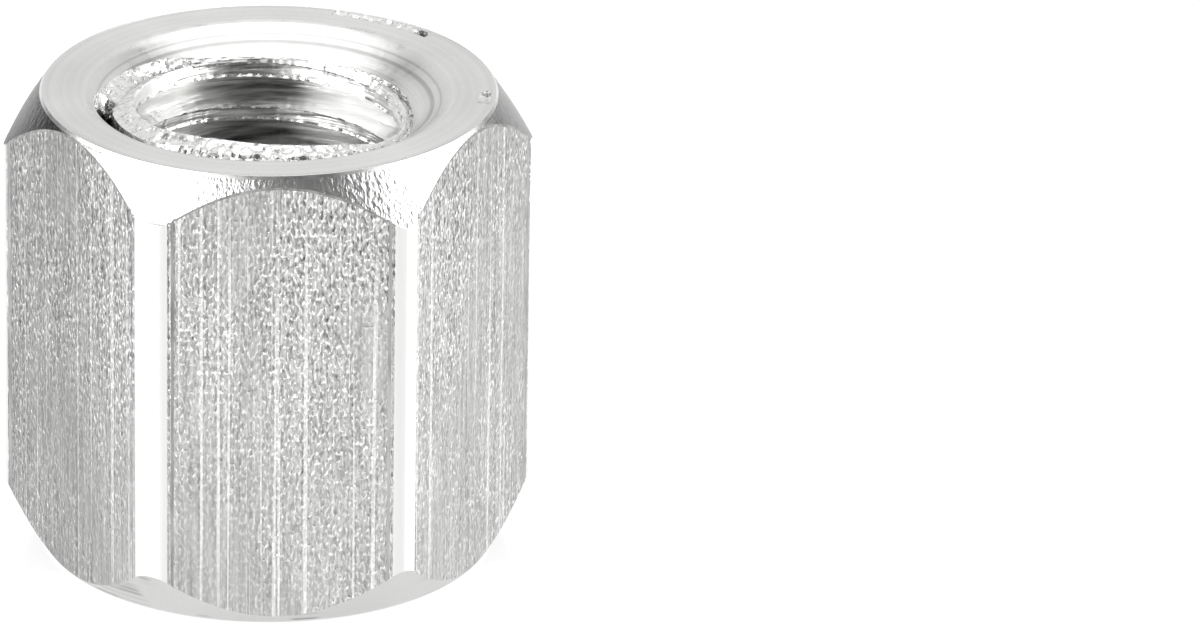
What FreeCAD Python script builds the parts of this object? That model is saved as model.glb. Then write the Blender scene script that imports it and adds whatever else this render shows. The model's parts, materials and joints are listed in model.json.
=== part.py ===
import FreeCAD, Part
import math
import os

import Sketcher

# A hexagonal coupling nut, turned and tapped from drawn bar, in millimetres.
# It is drawn about its middle plane, because both ends are alike, and then stands
# on its lower end face: the origin is the centre of that face and +Z is the axis.

SIZES = [
    # name, value, meaning
    ("across_flats", 18.0, "hexagon, flat to flat"),
    ("nut_length", 18.5, "end face to end face"),
    ("corner_radius", 1.4, "rounding that the drawn bar has along its six corners"),
    ("chamfer_inset", 0.2, "how far inside the flats the chamfer meets the end face"),
    ("chamfer_angle", 57.0, "slope of the turned chamfer, from the end face"),
    ("edge_break", 0.12, "small bevel between the end face and the chamfer"),
    ("thread_diameter", 12.0, "nominal size of the tapped thread"),
    ("thread_pitch", 1.75, "pitch of the tapped thread"),
    ("countersink_margin", 1.2, "how far the countersink's mouth stands outside the thread"),
    ("countersink_angle", 120.0, "whole angle of the countersink"),
]

# The sizes below follow from the ones above.
HALF_LENGTH = "Sizes.nut_length / 2"
SHARP_CORNER = "Sizes.across_flats / sqrt(3)"
CHAMFER_START = "Sizes.across_flats / 2 - Sizes.chamfer_inset"
TAP_DRILL = "Sizes.thread_diameter - Sizes.thread_pitch"
COUNTERSINK_MOUTH = "Sizes.thread_diameter + 2 * Sizes.countersink_margin"

# A sketch's own origin point and axes, as its constraints name them.
ORIGIN = (-1, 1)
START, END, CENTRE = 1, 2, 3


def make_sheet(doc):
    sheet = doc.addObject("Spreadsheet::Sheet", "Sizes")
    for row, (name, value, meaning) in enumerate(SIZES, start=1):
        sheet.set(f"A{row}", name)
        sheet.set(f"B{row}", str(value))
        sheet.set(f"C{row}", meaning)
        sheet.setAlias(f"B{row}", name)
    doc.recompute()
    return sheet


def origin_plane(body, role):
    return next(f for f in body.Origin.OriginFeatures if f.Role == role)


def sketch_on(body, name, role):
    sketch = body.newObject("Sketcher::SketchObject", name)
    sketch.AttachmentSupport = (origin_plane(body, role), "")
    sketch.MapMode = "FlatFace"
    return sketch


def constrain(sketch, kind, *where, size=None):
    """Adds a constraint, and binds it to the sheet where it carries a size."""
    if size is None:
        return sketch.addConstraint(Sketcher.Constraint(kind, *where))
    index = sketch.addConstraint(Sketcher.Constraint(kind, *where))
    sketch.setExpression(f"Constraints[{index}]", size)
    return index


def draw_loop(sketch, points):
    """Draws a closed loop of lines and joins their ends."""
    vectors = [FreeCAD.Vector(x, y, 0) for x, y in points]
    lines = []
    for a, b in zip(vectors, vectors[1:] + vectors[:1]):
        lines.append(sketch.addGeometry(Part.LineSegment(a, b), False))
    for line, following in zip(lines, lines[1:] + lines[:1]):
        constrain(sketch, "Coincident", line, END, following, START)
    return lines


def add_hexagon_bar(body, sheet):
    """The drawn bar: a regular hexagon with one flat towards -Y, corners rounded."""
    sketch = sketch_on(body, "HexagonSketch", "XY_Plane")
    corner = sheet.across_flats / math.sqrt(3)
    angles = [math.radians(240 + 60 * k) for k in range(6)]
    sides = draw_loop(sketch, [(corner * math.cos(a), corner * math.sin(a)) for a in angles])
    circle = sketch.addGeometry(
        Part.Circle(FreeCAD.Vector(), FreeCAD.Vector(0, 0, 1), corner), True)
    constrain(sketch, "Coincident", circle, CENTRE, *ORIGIN)
    for side in sides:
        constrain(sketch, "PointOnObject", side, START, circle)
    for side in sides[1:]:
        constrain(sketch, "Equal", sides[0], side)
    constrain(sketch, "Horizontal", sides[0])
    constrain(sketch, "Radius", circle, corner, size=SHARP_CORNER)

    bar = body.newObject("PartDesign::Pad", "HexagonBar")
    bar.Profile = sketch
    bar.Midplane = True
    bar.setExpression("Length", "Sizes.nut_length")
    body.Document.recompute()

    corners = body.newObject("PartDesign::Fillet", "RoundedCorners")
    corners.Base = (bar, edges_along_axis(bar.Shape))
    corners.setExpression("Radius", "Sizes.corner_radius")
    body.Document.recompute()
    return corners


def edges_along_axis(shape):
    names = []
    for number, edge in enumerate(shape.Edges, start=1):
        a, b = (v.Point for v in edge.Vertexes)
        if math.hypot(a.x - b.x, a.y - b.y) < 1e-6:
            names.append(f"Edge{number}")
    return names


def add_end_chamfer(body, sheet):
    """The lathe cut round the upper end. Where the cone runs out on a flat it leaves an arc."""
    sketch = sketch_on(body, "ChamferSketch", "XZ_Plane")
    top = sheet.nut_length / 2
    outer = sheet.across_flats / math.sqrt(3)
    start = sheet.across_flats / 2 - sheet.chamfer_inset
    small = sheet.edge_break
    drop = small + (outer - start) * math.tan(math.radians(sheet.chamfer_angle))
    points = [(start - small, top), (outer, top), (outer, top - drop), (start, top - small)]
    face, wall, cone, bevel = draw_loop(sketch, points)
    constrain(sketch, "Horizontal", face)
    constrain(sketch, "Vertical", wall)
    constrain(sketch, "DistanceY", *ORIGIN, face, START, top, size=HALF_LENGTH)
    constrain(sketch, "DistanceX", *ORIGIN, wall, START, outer, size=SHARP_CORNER)
    constrain(sketch, "DistanceX", *ORIGIN, bevel, START, start, size=CHAMFER_START)
    constrain(sketch, "DistanceX", bevel, END, bevel, START, small, size="Sizes.edge_break")
    constrain(sketch, "DistanceY", bevel, START, bevel, END, small, size="Sizes.edge_break")
    slope = math.radians(180 - sheet.chamfer_angle)
    constrain(sketch, "Angle", cone, slope, size="180 deg - Sizes.chamfer_angle * 1 deg")

    cut = body.newObject("PartDesign::Groove", "EndChamfer")
    cut.Profile = sketch
    cut.ReferenceAxis = (origin_plane(body, "Z_Axis"), [""])
    cut.Angle = 360
    body.Document.recompute()
    return cut


def add_bore(body, sheet):
    """The tap drill's bore, right through, and the countersink at its upper mouth."""
    sketch = sketch_on(body, "BoreSketch", "XY_Plane")
    sketch.setExpression("AttachmentOffset.Base.z", HALF_LENGTH)
    radius = (sheet.thread_diameter - sheet.thread_pitch) / 2
    circle = sketch.addGeometry(
        Part.Circle(FreeCAD.Vector(), FreeCAD.Vector(0, 0, 1), radius), False)
    constrain(sketch, "Coincident", circle, CENTRE, *ORIGIN)
    constrain(sketch, "Diameter", circle, 2 * radius, size=TAP_DRILL)
    body.Document.recompute()

    bore = body.newObject("PartDesign::Hole", "CountersunkBore")
    bore.Profile = sketch
    bore.DepthType = "ThroughAll"
    bore.setExpression("Diameter", TAP_DRILL)
    bore.HoleCutType = "Countersink"
    bore.setExpression("HoleCutDiameter", COUNTERSINK_MOUTH)
    bore.setExpression("HoleCutCountersinkAngle", "Sizes.countersink_angle")
    body.Document.recompute()
    return bore


def mirror_to_lower_end(body, features):
    """Repeats the work of the upper end at the lower one."""
    mirror = body.newObject("PartDesign::Mirrored", "LowerEnd")
    mirror.Originals = features
    mirror.MirrorPlane = (origin_plane(body, "XY_Plane"), [""])
    body.Tip = mirror
    body.Document.recompute()
    return mirror


def make_coupling_nut(doc, sheet):
    body = doc.addObject("PartDesign::Body", "CouplingNut")
    body.Label = "coupling_nut"
    body.setExpression("Placement.Base.z", HALF_LENGTH)
    doc.recompute()
    steps = [add_hexagon_bar(body, sheet)]
    steps.append(add_end_chamfer(body, sheet))
    steps.append(add_bore(body, sheet))
    steps.append(mirror_to_lower_end(body, steps[1:]))
    check_material_removed(steps)
    return body


def check_material_removed(steps):
    """Each step after the bar cuts metal away, so its volume has to be smaller."""
    for before, after in zip(steps, steps[1:]):
        if after.Shape.Volume >= before.Shape.Volume:
            raise RuntimeError(f"{after.Label} removed nothing")


def check_document(doc, bodies):
    for item in doc.Objects:
        if "Invalid" in item.State or "Error" in item.State:
            raise RuntimeError(f"{item.Label} failed: {item.State}")
    for body in bodies:
        if body.Shape.isNull() or not body.Shape.isValid() or len(body.Shape.Solids) != 1:
            raise RuntimeError(f"{body.Label} is not one sound solid")


def main():
    doc = FreeCAD.newDocument("CouplingNut")
    sheet = make_sheet(doc)
    bodies = [make_coupling_nut(doc, sheet)]
    doc.recompute()
    check_document(doc, bodies)
    os.makedirs("parts", exist_ok=True)
    for body in bodies:
        body.Shape.exportStep(f"parts/{body.Label}.step")
        box = body.Shape.BoundBox
        print(f"{body.Label}: {body.Shape.Volume:.1f} mm3, z {box.ZMin:.2f} to {box.ZMax:.2f}, "
              f"x {box.XLength:.2f}, y {box.YLength:.2f}, faces {len(body.Shape.Faces)}")


main()
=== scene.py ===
import json
import math

import bpy
import numpy as np
from mathutils import Matrix, Vector, noise


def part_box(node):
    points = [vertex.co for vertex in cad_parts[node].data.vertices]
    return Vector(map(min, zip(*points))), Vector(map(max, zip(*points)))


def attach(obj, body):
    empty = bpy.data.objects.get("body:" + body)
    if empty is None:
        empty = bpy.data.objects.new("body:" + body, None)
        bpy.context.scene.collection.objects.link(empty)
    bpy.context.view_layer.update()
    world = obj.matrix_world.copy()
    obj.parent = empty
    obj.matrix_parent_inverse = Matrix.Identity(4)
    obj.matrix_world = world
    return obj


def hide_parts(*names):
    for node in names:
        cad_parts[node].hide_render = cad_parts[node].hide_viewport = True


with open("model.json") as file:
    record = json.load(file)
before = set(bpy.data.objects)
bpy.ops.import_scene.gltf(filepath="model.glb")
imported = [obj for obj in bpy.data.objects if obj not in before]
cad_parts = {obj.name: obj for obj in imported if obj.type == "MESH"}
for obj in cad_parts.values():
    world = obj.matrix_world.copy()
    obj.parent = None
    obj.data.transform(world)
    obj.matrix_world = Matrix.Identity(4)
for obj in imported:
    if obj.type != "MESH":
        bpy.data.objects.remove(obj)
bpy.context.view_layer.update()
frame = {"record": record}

# A hexagonal coupling nut: drawn steel bar, turned at both ends, countersunk and tapped.
# Lengths below are millimetres unless a name says otherwise, and angles are degrees.
MM = 0.001

# The main sizes come from the solid that this mesh stands for.
NODE = "coupling_nut"
STEELS = range(7)
FLAT_STEEL, SHADE_LINE_STEEL, CORNER_STEEL, CHAMFER_STEEL, TURNED_STEEL, TORN_STEEL, THREAD_STEEL = STEELS
low_corner, high_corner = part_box(NODE)
ACROSS_FLATS = (high_corner.y - low_corner.y) / MM
NUT_LENGTH = (high_corner.z - low_corner.z) / MM
THREAD_MOUNT = next(m for m in frame["record"]["mounts"] if m["name"] == "upper_thread")
CREST_RADIUS = THREAD_MOUNT["dims"]["r_mm"]

# The drawn bar, by the angle round the axis. The front flat is at 270. The flats left and right
# of it, at 210 and 330, lie a little deeper, and the outer corners, at 0 and 180, are sharper.
CORNER_RADII = {0: 0.65, 60: 1.4, 120: 1.4, 180: 0.6, 240: 1.4, 300: 1.0}
FLAT_INSETS = {30: 0.04, 90: 0.04, 150: 0.04, 210: 0.19, 270: 0.04, 330: 0.19}
CORNER_COLUMNS = 20
FLAT_COLUMNS = 50
DIE_LINES = [
    # distance from the rounded corner, height over the flat
    (0.06, -0.02), (0.13, 0.02), (0.25, -0.03), (0.36, 0.0),
]
# Between these distances from the ends of each flat, the die lines carry painted shade.
SHADE_LINE_SPAN = (0.1, 0.2)

# The turned ends: chamfer, rounded rim, flat ring and countersink.
CHAMFER_INSET = 0.2
CHAMFER_START = ACROSS_FLATS / 2 - CHAMFER_INSET
CHAMFER_ANGLE = 57.0
EDGE_BREAK = 0.12
RING_DROP = 0.03
MOUTH_RADIUS = 7.2
COUNTERSINK_SLOPE = 30.0
NICK_SIZE = 0.5
RIM_NICKS = [
    # first angle, last angle, depth
    (44, 70, 0.16), (40.5, 43.5, 0.5), (349, 357, 0.2),
]
RIM_PROFILE = [
    # distance inside the rim, depth, share of the dent
    (0.6, RING_DROP, 0.0), (0.46, RING_DROP, 1.0), (0.3, RING_DROP, 0.9), (0.16, RING_DROP, 0.0),
    (0.03, 0.02, 0.0), (0.0, 0.0, 0.0), (-0.03, 0.008, 0.0),
]
ARC_LINE_SHARE = 0.006   # of the wall's height

# How many rows of faces each zone has. No dent reaches the sound rows of the rim.
WALL_ROWS = 10
CHAMFER_ROWS = 8
RIM_ROWS = len(RIM_PROFILE)
SOUND_RIM_ROWS = 4
RING_ROWS = 8
CONE_ROWS = 5
POCKET_ROWS = 11
STRIP_ROWS = 6

# The thread, M12 in its proportions. Its land is the narrow face along each crest.
PITCH = 1.75
ROOT_RADIUS = 6.05
FLANK_ANGLE = 30.0
LAND_ANGLE = 90.0
LAND_DEPTH = 1.34   # of the first land's middle, at that angle
LAND = 0.149   # half the land's width, as a share of the pitch
FLANK = (ROOT_RADIUS - CREST_RADIUS) * math.tan(math.radians(FLANK_ANGLE)) / PITCH
THREAD_STEPS = [
    # share of the pitch below the land's middle, share of the groove's depth
    (-LAND, 0.0), (-0.7 * LAND, 0.0), (0.7 * LAND, 0.0), (LAND, 0.0),
    (LAND + FLANK / 2, 0.5), (LAND + FLANK, 1.0), (1 - LAND - FLANK, 1.0), (1 - LAND - FLANK / 2, 0.5),
]
BURRED_STEPS = (0, 2)
RUN_OUT = (0.94, 1.24)   # how deep in the bore the groove starts and is fully cut
LIP_MARGIN = 0.03
LIP_FLARE = 0.35
CREST_BURR = 0.1
BEAD_SIZE = 0.3

# The torn metal that the tap pushed up round the mouth, by the angle round the axis. It is a
# lip, a strip that falls away outward from it, and a crumbly pocket beyond the strip.
TORN_LIP = [
    # angle, outer radius, lip radius, lip depth, pocket depth, crumb height
    (0, 5.50, 5.22, 1.10, 0.0, 0.06),
    (30, 5.55, 5.30, 1.06, 0.0, 0.05),
    (60, 5.55, 5.42, 0.99, 0.0, 0.03),
    (90, 5.56, 5.44, 0.96, 0.0, 0.03),
    (112, 5.72, 5.42, 0.92, 0.0, 0.02),
    (130, 6.15, 5.36, 0.88, 0.0, 0.03),
    (160, 6.40, 5.30, 0.74, 0.0, 0.03),
    (172, 6.55, 5.26, 0.64, 0.20, 0.10),
    (180, 6.75, 5.24, 0.56, 1.00, 0.22),
    (214, 6.90, 5.22, 0.34, 1.10, 0.26),
    (226, 6.94, 5.20, 0.24, 0.90, 0.24),
    (236, 7.02, 5.20, 0.16, 0.40, 0.24),
    (245, 7.10, 5.20, 0.10, 0.20, 0.24),
    (262, 7.17, 5.20, 0.12, 0.22, 0.26),
    (280, 7.17, 5.20, 0.24, 0.20, 0.26),
    (300, 7.10, 5.24, 0.45, 0.10, 0.20),
    (318, 6.40, 5.36, 0.84, 0.0, 0.12),
    (340, 5.70, 5.34, 1.02, 0.0, 0.08),
    (360, 5.50, 5.22, 1.10, 0.0, 0.06),
]
STRIP_WIDTH = 0.45
STRIP_WIDENING = 0.32   # per millimetre of pocket depth
WIDEST_STRIP = 0.5   # share of the way from the lip to the clean cone
STRIP_SLOPE = 20.0

# The crumbs of torn metal. The reliefs are shares of the crumb height in the list above, and the
# fades are shares of the way across the pocket.
CRUMB_SIZE = 0.34
CRUMB_BASE = 0.8
CRUMB_RELIEF = 1.7
STRIP_RELIEF = 0.6
LIP_RELIEF = 0.3
CRUMB_FADE_IN = (0.0, 0.25)
CRUMB_FADE_OUT = (1.0, 0.9)
LEAST_DEPTH = 0.01
LUMP_SPREAD = 1.35   # a larger value makes each lump narrower

# The camera, read from the photograph's outline of the nut.
PHOTO_WIDTH = 1200
PHOTO_HEIGHT = 633
NUT_PIXEL = (268.3, 310.1)
PIXELS_PER_MM = 25.86
VIEW_DISTANCE = 428.6
VIEW_ELEVATION = 23.36
VIEW_TURN = -2.36
VIEW_ROLL = 0.198
SENSOR_WIDTH = 36.0
NEAREST_SEEN, FARTHEST_SEEN = 0.01, 20.0   # metres

SHARP_ANGLE = 32.0

# The stretches of X over which a painted shade darkens the metal towards the left and right of the
# nut.
LEFT_SIDE = (-7.5, -4.5)
RIGHT_SIDE = (4.5, 7.5)

# The floor. Its half width and the rise of its edge are metres.
FLOOR_HALF = 1.0
FLOOR_RISE = 0.1
FLOOR_SPREAD = 1.05
FLOOR_WHITE = 0.9
FLOOR_GLOW = 0.84

WORLD_GREY = 0.15
SOFT_BOXES = [
    # name, azimuth, elevation, distance in metres, width and height seen from the nut, radiance
    ("left_soft_box", -66, 33, 0.8, 78, 36, 4.0),
    ("right_soft_box", 88, 28, 0.8, 54, 32, 4.0),
    ("top_soft_box", 180, 78, 0.8, 56, 50, 1.6),
    ("back_soft_box", 173, 27, 1.2, 74, 40, 0.8),
]


def polar(radius, angle):
    return radius * math.cos(math.radians(angle)), radius * math.sin(math.radians(angle))


def smooth_step(low, high, value):
    share = min(1.0, max(0.0, (value - low) / (high - low)))
    return share * share * (3 - 2 * share)


def lip_at(angle):
    """The torn lip's outer radius, lip radius, lip depth, pocket depth and crumb height."""
    rows = np.array(TORN_LIP)
    return [float(np.interp(angle % 360, rows[:, 0], rows[:, k])) for k in range(1, 6)]


def nick_at(radius, angle):
    """The depth of the dents in the rim, or 0 where it is sound."""
    for first, last, most in RIM_NICKS:
        if first < angle % 360 < last:
            return most * lumps(Vector((*polar(radius, angle), 0.0)), NICK_SIZE)
    return 0.0


def lumps(point, size):
    """Rounded lumps side by side: 1 on top of each, 0 in the gaps."""
    distances, _ = noise.voronoi(point / size)
    return max(0.0, 1.0 - (LUMP_SPREAD * distances[0]) ** 2)


def apothem(flat):
    return ACROSS_FLATS / 2 - FLAT_INSETS[flat % 360]


def arc_centre(corner):
    """Where the two flats beside a corner would meet if both stood the corner's radius further in."""
    radius = CORNER_RADII[corner]
    before, after = apothem(corner - 30) - radius, apothem(corner + 30) - radius
    along = (before + after) / 2 / math.cos(math.radians(30))
    across = (after - before) / 2 / math.sin(math.radians(30))
    ux, uy = polar(1.0, corner)
    return along * ux - across * uy, along * uy + across * ux


def section_points():
    """The bar's outline, counter-clockwise, as (x, y, steel of the wall that follows)."""
    points = []
    for corner in sorted(CORNER_RADII):
        cx, cy = arc_centre(corner)
        for step in range(CORNER_COLUMNS):
            ax, ay = polar(CORNER_RADII[corner], corner - 30 + 60 * step / CORNER_COLUMNS)
            points.append((cx + ax, cy + ay, CORNER_STEEL))
        points += flat_points(corner, (corner + 60) % 360)
    return points


def flat_points(corner, next_corner):
    """One flat of the bar, from the end of one rounded corner up to the next, with its die lines."""
    nx, ny = polar(1.0, corner + 30)
    ends = []
    for place in (corner, next_corner):
        cx, cy = arc_centre(place)
        ends.append(cy * nx - cx * ny)
    start, end = ends
    edge = DIE_LINES[-1][0]
    length = end - start
    places = [(0.0, 0.0)] + DIE_LINES
    for step in range(1, FLAT_COLUMNS):
        places.append((edge + (length - 2 * edge) * step / FLAT_COLUMNS, 0.0))
    places += [(length - distance, height) for distance, height in reversed(DIE_LINES)]
    points = []
    for (distance, height), (following, _) in zip(places, places[1:] + [(length, 0.0)]):
        along = start + distance
        out = apothem(corner + 30) + height
        middle = (distance + following) / 2
        # Painted shade on the die lines near the ends of the flat.
        shade_lined = SHADE_LINE_SPAN[0] < min(middle, length - middle) < SHADE_LINE_SPAN[1]
        points.append((out * nx - along * ny, out * ny + along * nx,
                       SHADE_LINE_STEEL if shade_lined else FLAT_STEEL))
    return points


class Surface:
    """Collects vertices, faces and each face's material number."""

    def __init__(self):
        self.vertices = []
        self.faces = []
        self.materials = []

    def add_vertex(self, x, y, z):
        self.vertices.append((x * MM, y * MM, z * MM))
        return len(self.vertices) - 1

    def add_face(self, corners, material):
        kept = []
        for corner in corners:
            if corner not in kept:
                kept.append(corner)
        if len(kept) > 2:
            self.faces.append(kept)
            self.materials.append(material)

    def bridge(self, upper, lower, materials):
        count = len(upper)
        for j in range(count):
            following = (j + 1) % count
            self.add_face((upper[j], lower[j], lower[following], upper[following]), materials[j])


class NutEnd:
    """One end of the nut. Depths are measured into the metal from the end face."""

    def __init__(self, upper, turn):
        self.upper = upper
        self.turn = turn

    def height(self, depth):
        return NUT_LENGTH - depth if self.upper else depth

    def local_angle(self, angle):
        """The lower end is the upper one turned over about a level line."""
        return angle if self.upper else self.turn - angle

    def lip(self, angle):
        return lip_at(self.local_angle(angle))

    def cone_depth(self, radius):
        return RING_DROP + (MOUTH_RADIUS - radius) * math.tan(math.radians(COUNTERSINK_SLOPE))

    def strip(self, angle):
        """The outer radius of the strip behind the lip, and its depth there."""
        outer, lip_radius, lip_depth, pocket, _ = self.lip(angle)
        width = min(STRIP_WIDTH + STRIP_WIDENING * pocket, WIDEST_STRIP * (outer - lip_radius))
        return lip_radius + width, lip_depth + width * math.tan(math.radians(STRIP_SLOPE))

    def pocket_point(self, share, angle):
        """Radius and depth in the crumbly metal, from the strip, at 0, out to the clean cone, at 1."""
        outer, _, _, pocket, crumb = self.lip(angle)
        inner, inner_depth = self.strip(angle)
        radius = inner + (outer - inner) * share
        depth = inner_depth * (1 - share) + self.cone_depth(outer) * share
        depth += pocket * math.sin(math.pi * share)
        point = Vector((*polar(radius, angle), self.height(depth)))
        rough = smooth_step(*CRUMB_FADE_IN, share) * smooth_step(*CRUMB_FADE_OUT, share)
        depth += crumb * rough * (CRUMB_BASE - CRUMB_RELIEF * lumps(point, CRUMB_SIZE))
        return radius, max(LEAST_DEPTH, depth)

    def strip_point(self, share, angle):
        """Radius and depth on the strip, from the ragged lip, at 0, out to the pocket, at 1."""
        _, lip_radius, lip_depth, _, crumb = self.lip(angle)
        inner, inner_depth = self.strip(angle)
        edge = Vector((*polar(lip_radius, angle), 0.0))
        ragged = LIP_RELIEF * crumb * (1 - share) * (0.5 - lumps(edge, CRUMB_SIZE))
        radius = lip_radius + (inner - lip_radius) * share + ragged
        point = Vector((*polar(radius, angle), 0.0))
        relief = STRIP_RELIEF * crumb * math.sin(math.pi * share) * (0.5 - lumps(point, CRUMB_SIZE))
        return radius, lip_depth + (inner_depth - lip_depth) * share + relief

    def mouth_rings(self, angles):
        """Rings of (radius, depth): the lip, the strip, the crumbly pocket and the clean cone."""
        rings = []
        for step in range(STRIP_ROWS):
            rings.append([self.strip_point(step / STRIP_ROWS, angle) for angle in angles])
        for step in range(POCKET_ROWS):
            rings.append([self.pocket_point(step / POCKET_ROWS, angle) for angle in angles])
        for step in range(CONE_ROWS + 1):
            ring = []
            for angle in angles:
                outer = self.lip(angle)[0]
                radius = outer + (MOUTH_RADIUS - outer) * (step / CONE_ROWS) ** 2
                ring.append((radius, self.cone_depth(radius)))
            rings.append(ring)
        return rings

    def rings(self, angles, outline):
        """All rings of (radius, depth) for each column, from the lip out to the chamfer's foot."""
        rings = self.mouth_rings(angles)
        rim = CHAMFER_START - EDGE_BREAK
        ring_width = rim - RIM_PROFILE[0][0] - MOUTH_RADIUS
        for step in range(1, RING_ROWS + 1):
            radius = MOUTH_RADIUS + ring_width * step / (RING_ROWS + 1)
            rings.append([(radius, RING_DROP)] * len(angles))
        for inset, depth, share in RIM_PROFILE:
            radius = rim - inset
            rings.append([(radius, depth + share * nick_at(radius, self.local_angle(angle)))
                          for angle in angles])
        slope = math.tan(math.radians(CHAMFER_ANGLE))
        for step in range(CHAMFER_ROWS + 1):
            ring = []
            for foot in outline:
                radius = CHAMFER_START + (foot - CHAMFER_START) * step / CHAMFER_ROWS
                ring.append((radius, EDGE_BREAK + (radius - CHAMFER_START) * slope))
            rings.append(ring)
        return rings

    def steel(self, row, rows, angle):
        """The steel of one row of faces. Rows count from 0 at the lip."""
        rows_outside = rows - 1 - row
        if rows_outside < CHAMFER_ROWS:
            return CHAMFER_STEEL
        beside_chamfer = rows_outside - CHAMFER_ROWS + 1
        on_dents = SOUND_RIM_ROWS < beside_chamfer <= RIM_ROWS
        if on_dents and nick_at(CHAMFER_START, self.local_angle(angle)) > 0:
            return TORN_STEEL
        if row < STRIP_ROWS + POCKET_ROWS:
            return TORN_STEEL
        return TURNED_STEEL


def ring_vertices(surface, end, ring, angles):
    return [surface.add_vertex(*polar(radius, angle), end.height(depth))
            for (radius, depth), angle in zip(ring, angles)]


def nut_mesh():
    """The whole surface. Every ring has one vertex for each point of the bar's outline."""
    points = section_points()
    angles = [math.degrees(math.atan2(y, x)) for x, y, _ in points]
    start = angles[0]
    angles = [start + (angle - start) % 360 for angle in angles]
    outline = [math.hypot(x, y) for x, y, _ in points]
    wall = [steel for _, _, steel in points]

    surface = Surface()
    land_at_zero = LAND_DEPTH + PITCH * LAND_ANGLE / 360
    turn = 180 - (NUT_LENGTH - 2 * LAND_DEPTH) / PITCH * 360
    top, bottom = NutEnd(True, 0.0), NutEnd(False, turn)
    edges = {}
    for end in (top, bottom):
        rings = [ring_vertices(surface, end, ring, angles) for ring in end.rings(angles, outline)]
        edges[end] = rings[0], rings[-1]
        for row, (inner, outer) in enumerate(zip(rings, rings[1:])):
            steels = [end.steel(row, len(rings) - 1, angle) for angle in angles]
            if end.upper:
                surface.bridge(inner, outer, steels)
            else:
                surface.bridge(outer, inner, steels)
    add_wall(surface, edges[top][1], edges[bottom][1], wall)
    add_thread(surface, top, bottom, edges[top][0], edges[bottom][0], angles, land_at_zero)
    return surface


def add_wall(surface, upper, lower, materials):
    """The bar's wall. A line of painted shade runs under the arcs in which the upper chamfer ends on
    the flats.
    """
    rings = [upper]
    for share in [ARC_LINE_SHARE, *(step / WALL_ROWS for step in range(1, WALL_ROWS))]:
        ring = []
        for a, b in zip(upper, lower):
            pa, pb = surface.vertices[a], surface.vertices[b]
            mixed = [p * (1 - share) + q * share for p, q in zip(pa, pb)]
            ring.append(surface.add_vertex(*(value / MM for value in mixed)))
        rings.append(ring)
    rings.append(lower)
    edge = [SHADE_LINE_STEEL if steel == FLAT_STEEL else steel for steel in materials]
    for above, below in zip(rings, rings[1:]):
        surface.bridge(above, below, edge if above is upper else materials)


def add_thread(surface, top, bottom, top_lip, bottom_lip, angles, land_at_zero):
    """Rows that climb with the helix. What lies past a lip becomes that lip's own vertex."""
    per_turn = len(THREAD_STEPS)
    count = len(angles)
    first_turn = -2 - int(land_at_zero / PITCH)
    last_turn = int(NUT_LENGTH / PITCH) + 2
    grid = []
    for turn in range(first_turn, last_turn + 1):
        for share, groove in THREAD_STEPS:
            row = []
            for j, angle in enumerate(angles):
                land = land_at_zero + turn * PITCH - PITCH * angle / 360
                depth = land + share * PITCH
                row.append(thread_vertex(surface, top, bottom, top_lip[j], bottom_lip[j],
                                         angle, depth, land, share, groove))
            grid.append(row)
    for i, (row, below) in enumerate(zip(grid, grid[1:])):
        steel = TORN_STEEL if i % per_turn in BURRED_STEPS else THREAD_STEEL
        for j in range(count):
            if j + 1 < count:
                right, right_below = row[j + 1], below[j + 1]
            else:
                right = grid[i - per_turn][0] if i >= per_turn else top_lip[0]
                right_below = grid[i + 1 - per_turn][0] if i + 1 >= per_turn else top_lip[0]
            surface.add_face((row[j], right, right_below, below[j]), steel)


def thread_vertex(surface, top, bottom, top_lip, bottom_lip, angle, depth, land, share, groove):
    """One vertex of the bore's wall, or the lip's own vertex where it lies past a lip."""
    if depth < top.lip(angle)[2] + LIP_MARGIN:
        return top_lip
    if NUT_LENGTH - depth < bottom.lip(angle)[2] + LIP_MARGIN:
        return bottom_lip
    middle = land + PITCH / 2
    deepening = smooth_step(*RUN_OUT, middle) * smooth_step(*RUN_OUT, NUT_LENGTH - middle)
    radius = CREST_RADIUS + groove * deepening * (ROOT_RADIUS - CREST_RADIUS)
    for end, end_depth in ((top, depth), (bottom, NUT_LENGTH - depth)):
        _, lip_radius, lip_depth, _, _ = end.lip(angle)
        radius = max(radius, lip_radius - (end_depth - lip_depth) * LIP_FLARE)
    if groove == 0 and abs(share) == LAND:
        point = Vector((*polar(CREST_RADIUS, angle), depth))
        radius -= CREST_BURR * lumps(point, BEAD_SIZE)
    x, y = polar(radius, angle)
    return surface.add_vertex(x, y, NUT_LENGTH - depth)


def make_nut():
    surface = nut_mesh()
    mesh = bpy.data.meshes.new("nut")
    mesh.from_pydata(surface.vertices, [], surface.faces)
    mesh.polygons.foreach_set("material_index", surface.materials)
    mesh.polygons.foreach_set("use_smooth", [True] * len(mesh.polygons))
    mesh.set_sharp_from_angle(angle=math.radians(SHARP_ANGLE))
    mesh.update()
    nut = bpy.data.objects.new("threaded_nut", mesh)
    bpy.context.scene.collection.objects.link(nut)
    return nut


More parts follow.
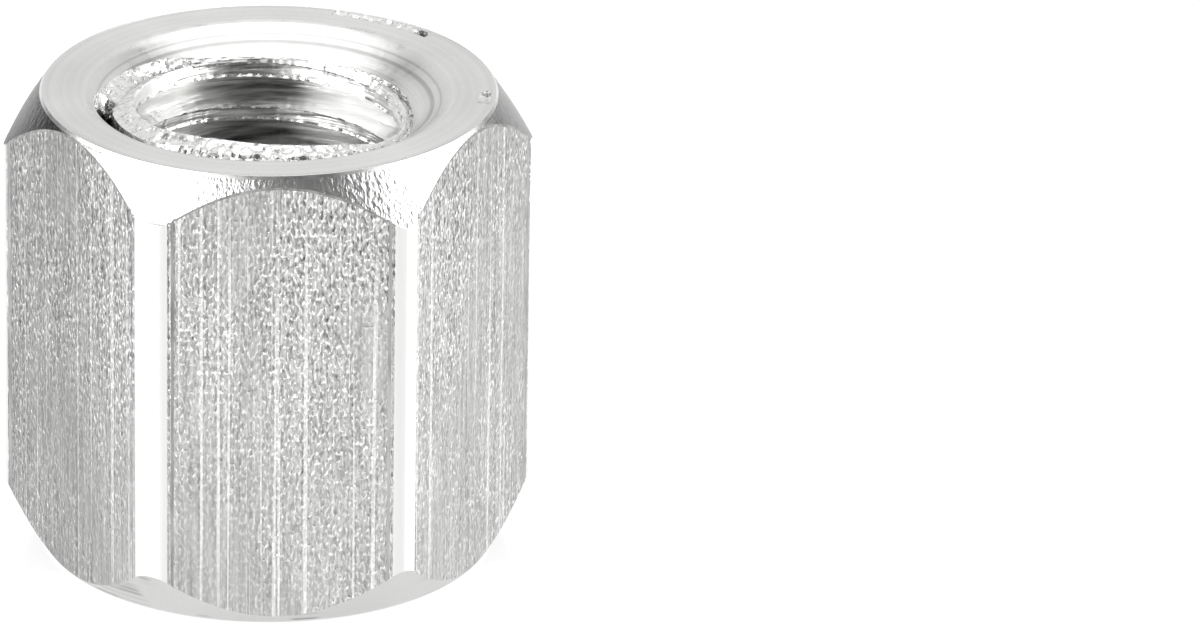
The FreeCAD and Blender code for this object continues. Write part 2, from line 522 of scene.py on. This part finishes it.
class Nodes:
    """Short names for building a material's nodes."""

    def __init__(self, name):
        self.material = bpy.data.materials.new(name)
        self.material.use_nodes = True
        self.tree = self.material.node_tree
        self.shader = self.tree.nodes["Principled BSDF"]

    def link(self, value, socket):
        if isinstance(value, bpy.types.NodeSocket):
            self.tree.links.new(value, socket)
        else:
            socket.default_value = value

    def position(self):
        return self.tree.nodes.new("ShaderNodeTexCoord").outputs["Object"]

    def math(self, operation, *values):
        node = self.tree.nodes.new("ShaderNodeMath")
        node.operation = operation
        for value, socket in zip(values, node.inputs):
            self.link(value, socket)
        return node.outputs[0]

    def scaled(self, vector, scale):
        node = self.tree.nodes.new("ShaderNodeVectorMath")
        node.operation = "MULTIPLY"
        self.link(vector, node.inputs[0])
        node.inputs[1].default_value = scale
        return node.outputs[0]

    def noise(self, vector, scale, detail=2.0, roughness=0.5):
        node = self.tree.nodes.new("ShaderNodeTexNoise")
        self.link(vector, node.inputs["Vector"])
        node.inputs["Scale"].default_value = scale
        node.inputs["Detail"].default_value = detail
        node.inputs["Roughness"].default_value = roughness
        return node.outputs["Fac"]

    def remap(self, value, low, high, new_low, new_high):
        node = self.tree.nodes.new("ShaderNodeMapRange")
        for entry, socket in zip((value, low, high, new_low, new_high), node.inputs):
            self.link(entry, socket)
        return node.outputs[0]

    def grey(self, value, tint=(1.0, 1.0, 0.99)):
        node = self.tree.nodes.new("ShaderNodeCombineColor")
        for share, socket in zip(tint, node.inputs):
            self.link(self.math("MULTIPLY", value, share), socket)
        return node.outputs[0]

    def radius(self):
        node = self.tree.nodes.new("ShaderNodeVectorMath")
        node.operation = "LENGTH"
        self.link(self.scaled(self.position(), (1.0, 1.0, 0.0)), node.inputs[0])
        return node.outputs["Value"]

    def along(self, axis):
        node = self.tree.nodes.new("ShaderNodeSeparateXYZ")
        self.link(self.position(), node.inputs[0])
        return node.outputs[axis]

    def painted_side_shade(self, value, left_span, left_share, right_span, right_share):
        """Painted shade: darker towards the left and right of the nut, down to a share of its own on
        each side.
        """
        across = self.along("X")
        left = self.remap(across, left_span[0] * MM, left_span[1] * MM, left_share, 1.0)
        right = self.remap(across, right_span[0] * MM, right_span[1] * MM, 1.0, right_share)
        return self.math("MULTIPLY", value, self.math("MULTIPLY", left, right))

    def rings(self, scale):
        """Rings of uneven width round the axis."""
        node = self.tree.nodes.new("ShaderNodeCombineXYZ")
        self.link(self.radius(), node.inputs["X"])
        return self.noise(node.outputs[0], scale, 3.0)

    def painted_crevice_shade(self, distance):
        """Painted shade: 1 on open metal, less in a narrow gap."""
        node = self.tree.nodes.new("ShaderNodeAmbientOcclusion")
        node.samples = 8
        node.only_local = True
        node.inputs["Distance"].default_value = distance
        return node.outputs["AO"]

    def bump(self, height, distance):
        """Height runs from 0 to 1 over the distance, which is in metres."""
        node = self.tree.nodes.new("ShaderNodeBump")
        node.inputs["Strength"].default_value = 1.0
        node.inputs["Distance"].default_value = distance
        self.link(height, node.inputs["Height"])
        return node.outputs["Normal"]

    def brush_round_axis(self, strength):
        """Stretches highlights across tool marks that run round the axis."""
        node = self.tree.nodes.new("ShaderNodeTangent")
        node.direction_type = "RADIAL"
        node.axis = "Z"
        self.link(node.outputs[0], self.shader.inputs["Tangent"])
        self.shader.inputs["Anisotropic"].default_value = strength
        self.shader.inputs["Anisotropic Rotation"].default_value = 0.25

    def finish(self, colour, roughness, normal):
        self.shader.inputs["Metallic"].default_value = 1.0
        self.link(colour, self.shader.inputs["Base Color"])
        self.link(roughness, self.shader.inputs["Roughness"])
        self.link(normal, self.shader.inputs["Normal"])
        return self.material


def flat_steel():
    """The drawn flats: lines along the bar and a grain of small bright and dark specks. The bright
    glints and ridge lines in the colour are painted highlights, and the dark shoulders beside the
    lines are painted shade.
    """
    n = Nodes("drawn_flat_steel")
    place = n.position()
    lines = n.noise(n.scaled(place, (1.0, 1.0, 0.004)), 4400.0, 3.0)
    painted_line_shade = n.remap(lines, 0.54, 0.58, 0.0, 0.1)
    ridge_bump_and_highlight = n.remap(lines, 0.58, 0.64, 0.0, 0.4)
    streaks = n.noise(n.scaled(place, (1.0, 1.0, 0.05)), 5600.0, 2.0)
    grain = n.noise(n.scaled(place, (1.0, 1.0, 0.4)), 8800.0, 2.0)
    sparks = n.noise(n.scaled(place, (1.0, 1.0, 0.52)), 9600.0, 0.0)
    patches = n.noise(n.scaled(place, (1.0, 1.0, 0.4)), 280.0, 2.0)
    amount = n.math("MULTIPLY", n.remap(patches, 0.40, 0.58, 0.35, 1.0),
                    n.remap(n.along("Z"), 5 * MM, 16 * MM, 0.65, 1.4))
    speck = n.math("MULTIPLY", n.math("SUBTRACT", grain, 0.5), amount)
    glint = n.math("MULTIPLY", n.remap(sparks, 0.52, 0.7, 0.0, 0.5), amount)
    height = n.math("ADD", speck, n.math("MULTIPLY", streaks, 0.3))
    height = n.math("ADD", height, n.math("ADD", glint, ridge_bump_and_highlight))
    bright = n.math("ADD", n.math("MULTIPLY", speck, 1.2), n.remap(streaks, 0.3, 0.7, 0.44, 0.62))
    # Painted highlights and shade: the glints and ridge lines brighten the colour, and the shoulders
    # beside the lines darken it.
    bright = n.math("ADD", bright, n.math("SUBTRACT", n.math("ADD", glint, ridge_bump_and_highlight), painted_line_shade))
    # Painted shade: the flats a little darker towards the top.
    bright = n.math("SUBTRACT", bright, n.remap(n.along("Z"), 12 * MM, 17 * MM, 0.0, 0.05))
    # Painted shade: the flats darker towards the left and right of the nut.
    bright = n.painted_side_shade(bright, LEFT_SIDE, 0.68, RIGHT_SIDE, 0.89)
    return n.finish(n.grey(bright), 0.34, n.bump(height, 0.0001))


def painted_shade_lines():
    """Painted shade: the dark lines beside each rounded corner and under the upper arcs. The die lines
    themselves are in the shape.
    """
    n = Nodes("painted_shade_line_steel")
    lines = n.noise(n.scaled(n.position(), (1.0, 1.0, 0.12)), 3000.0, 3.0)
    return n.finish(n.grey(n.remap(lines, 0.35, 0.65, 0.26, 0.46)), 0.35, n.bump(lines, 0.00002))


def corner_steel():
    """The rounded corners, burnished by the die along the bar."""
    n = Nodes("burnished_corner_steel")
    place = n.position()
    lines = n.noise(n.scaled(place, (1.0, 1.0, 0.004)), 6000.0, 3.0)
    colour = n.grey(n.remap(lines, 0.3, 0.7, 0.84, 0.92))
    return n.finish(colour, n.remap(lines, 0.3, 0.7, 0.28, 0.38), n.bump(lines, 0.000008))


def chamfer_steel():
    """The turned chamfers: scores that run down them, weaker below, and a few rubbed rings."""
    n = Nodes("turned_chamfer_steel")
    place = n.position()
    scores = n.noise(n.scaled(place, (1.0, 1.0, 0.3)), 6200.0, 2.0)
    patches = n.noise(place, 500.0, 2.0)
    strength = n.math("MULTIPLY", n.remap(patches, 0.4, 0.6, 0.6, 1.0),
                      n.remap(n.along("Z"), 3 * MM, 15 * MM, 0.12, 1.0))
    height = n.math("MULTIPLY", n.math("SUBTRACT", scores, 0.5), strength)
    bright = n.math("ADD", 0.66, n.math("MULTIPLY", height, 0.55))
    # Painted shade: the chamfers much darker at the far left and right.
    bright = n.painted_side_shade(bright, (-8.2, -6.9), 0.12, (7.1, 8.6), 0.36)
    rubbed = n.math("MULTIPLY", n.remap(n.rings(7000.0), 0.46, 0.64, 0.0, 1.0),
                    n.remap(n.noise(place, 420.0, 1.0), 0.56, 0.66, 0.0, 0.7))
    bright = n.math("MULTIPLY", bright, n.math("SUBTRACT", 1.0, rubbed))
    return n.finish(n.grey(bright), 0.3, n.bump(height, 0.00005))


def turned_steel():
    """The turned ends: fine rings round the axis, and darker grooves in the countersink."""
    n = Nodes("turned_steel")
    place = n.position()
    wobble = n.noise(place, 260.0, 2.0)
    rings = n.rings(3200.0)
    fine = n.noise(place, 2200.0, 2.0)
    height = n.math("ADD", rings, n.math("MULTIPLY", fine, 0.25))
    tone = n.math("ADD", n.remap(wobble, 0.3, 0.7, 0.7, 0.76), n.remap(rings, 0.3, 0.7, -0.05, 0.05))
    grooves = n.math("MULTIPLY", n.remap(n.rings(3600.0), 0.5, 0.66, 0.0, 0.3),
                     n.remap(n.radius(), 6.8 * MM, 7.2 * MM, 1.0, 0.1))
    # Painted shade: the turned ends a little darker towards the left and right.
    tone = n.painted_side_shade(n.math("SUBTRACT", tone, grooves), LEFT_SIDE, 0.92, RIGHT_SIDE, 0.92)
    return n.finish(n.grey(tone), n.remap(fine, 0.3, 0.7, 0.26, 0.34), n.bump(height, 0.00002))


def torn_steel():
    """Bright metal that the tap tore and pushed up."""
    n = Nodes("torn_steel")
    place = n.position()
    rough = n.noise(place, 4200.0, 3.0)
    # Painted shade: the torn metal darkened in its narrow gaps.
    clean = n.remap(n.painted_crevice_shade(0.8 * MM), 0.38, 0.92, 0.06, 1.0)
    tone = n.math("MULTIPLY", n.remap(rough, 0.3, 0.7, 0.76, 0.9), clean)
    return n.finish(n.grey(tone), n.remap(rough, 0.3, 0.7, 0.2, 0.34), n.bump(rough, 0.00004))


def thread_steel():
    """The cut thread: lines that run round it, with painted shade that darkens it most in the middle
    and further down the bore.
    """
    n = Nodes("cut_thread_steel")
    lines = n.noise(n.scaled(n.position(), (0.06, 0.06, 1.0)), 6000.0, 3.0)
    aside = n.math("ABSOLUTE", n.along("X"))
    # Painted shade: the bore's far wall darker in its middle and further down the bore.
    painted_middle_shade = n.remap(aside, 1.2 * MM, 3.2 * MM, 0.26, 0.92)
    painted_depth_shade = n.remap(n.along("Z"), 13.5 * MM, 15.5 * MM, 0.6, 1.0)
    colour = n.grey(n.math("MULTIPLY", n.remap(lines, 0.36, 0.6, painted_middle_shade, 1.0), painted_depth_shade))
    n.brush_round_axis(0.95)
    return n.finish(colour, n.remap(lines, 0.3, 0.7, 0.26, 0.38), n.bump(lines, 0.0001))


def make_camera():
    focal_pixels = PIXELS_PER_MM * VIEW_DISTANCE
    across = (PHOTO_WIDTH / 2 - NUT_PIXEL[0]) / focal_pixels
    up = (PHOTO_HEIGHT / 2 - NUT_PIXEL[1]) / focal_pixels
    turn, rise = math.radians(VIEW_TURN), math.radians(VIEW_ELEVATION)
    back = Vector((math.sin(turn) * math.cos(rise), -math.cos(turn) * math.cos(rise), math.sin(rise)))
    right = Vector((math.cos(turn), math.sin(turn), 0.0))
    axes = Matrix((right, back.cross(right), back)).transposed().to_4x4()
    centre = (low_corner + high_corner) / 2
    camera_data = bpy.data.cameras.new("camera")
    camera_data.sensor_width = SENSOR_WIDTH
    camera_data.sensor_fit = "HORIZONTAL"
    camera_data.lens = focal_pixels / PHOTO_WIDTH * SENSOR_WIDTH
    camera_data.clip_start = NEAREST_SEEN
    camera_data.clip_end = FARTHEST_SEEN
    camera = bpy.data.objects.new("camera", camera_data)
    camera.matrix_world = (
        Matrix.Translation(centre + back * VIEW_DISTANCE * MM) @ axes
        @ Matrix.Rotation(math.radians(VIEW_ROLL), 4, "Z")
        @ Matrix.Rotation(-math.atan(across), 4, "Y")
        @ Matrix.Rotation(-math.atan(up), 4, "X"))
    bpy.context.scene.collection.objects.link(camera)
    bpy.context.scene.camera = camera


def direction(azimuth, elevation):
    """Azimuth 0 is the side of the camera, and 90 is +X."""
    a, e = math.radians(azimuth), math.radians(elevation)
    return Vector((math.sin(a) * math.cos(e), -math.cos(a) * math.cos(e), math.sin(e)))


def soft_box(name, azimuth, elevation, distance, width, height, radiance):
    """A soft box that faces the nut. Width and height are angles seen from the nut."""
    lamp = bpy.data.lights.new(name, "AREA")
    lamp.shape = "RECTANGLE"
    lamp.size = 2 * distance * math.tan(math.radians(width / 2))
    lamp.size_y = 2 * distance * math.tan(math.radians(height / 2))
    lamp.energy = radiance * math.pi * lamp.size * lamp.size_y
    box = bpy.data.objects.new(name, lamp)
    away = direction(azimuth, elevation)
    box.rotation_euler = away.to_track_quat("Z", "Y").to_euler()
    box.location = away * distance
    bpy.context.scene.collection.objects.link(box)


def make_lights():
    for box in SOFT_BOXES:
        soft_box(*box)
    world = bpy.data.worlds.new("world")
    world.use_nodes = True
    grey = (WORLD_GREY, WORLD_GREY, WORLD_GREY, 1.0)
    world.node_tree.nodes["Background"].inputs["Color"].default_value = grey
    bpy.context.scene.world = world


def make_floor():
    """A plain white floor that turns up at its far edge. It shows the nut's shadow, softened."""
    vertices = []
    for half, height in ((FLOOR_HALF, 0.0), (FLOOR_HALF * FLOOR_SPREAD, FLOOR_RISE)):
        corners = ((-half, -half), (half, -half), (half, half), (-half, half))
        vertices += [(x, y, height) for x, y in corners]
    faces = [(0, 1, 2, 3)] + [(k, k + 4, (k + 1) % 4 + 4, (k + 1) % 4) for k in range(4)]
    mesh = bpy.data.meshes.new("floor")
    mesh.from_pydata(vertices, [], faces)
    floor = bpy.data.objects.new("floor", mesh)
    bpy.context.scene.collection.objects.link(floor)
    material = bpy.data.materials.new("white_floor")
    material.use_nodes = True
    tree = material.node_tree
    shader = tree.nodes["Principled BSDF"]
    shader.inputs["Roughness"].default_value = 0.2
    path = tree.nodes.new("ShaderNodeLightPath")
    seen = path.outputs["Is Camera Ray"]
    for kind in ("Is Glossy Ray", "Is Transmission Ray"):
        either = tree.nodes.new("ShaderNodeMath")
        either.operation = "MAXIMUM"
        tree.links.new(seen, either.inputs[0])
        tree.links.new(path.outputs[kind], either.inputs[1])
        seen = either.outputs[0]
    for socket, unseen, glowing in (("Base Color", FLOOR_WHITE, FLOOR_WHITE * (1 - FLOOR_GLOW)),
                                    ("Emission Strength", 0.0, FLOOR_GLOW)):
        choice = tree.nodes.new("ShaderNodeMapRange")
        choice.inputs["To Min"].default_value = unseen
        choice.inputs["To Max"].default_value = glowing
        tree.links.new(seen, choice.inputs["Value"])
        tree.links.new(choice.outputs[0], shader.inputs[socket])
    shader.inputs["Emission Color"].default_value = (1.0, 1.0, 1.0, 1.0)
    floor.data.materials.append(material)


make_camera()
nut = make_nut()
for make_material in (flat_steel, painted_shade_lines, corner_steel, chamfer_steel, turned_steel,
                      torn_steel, thread_steel):
    nut.data.materials.append(make_material())
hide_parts(NODE)
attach(nut, "root")
make_floor()
make_lights()
bpy.context.scene.view_settings.view_transform = "Standard"
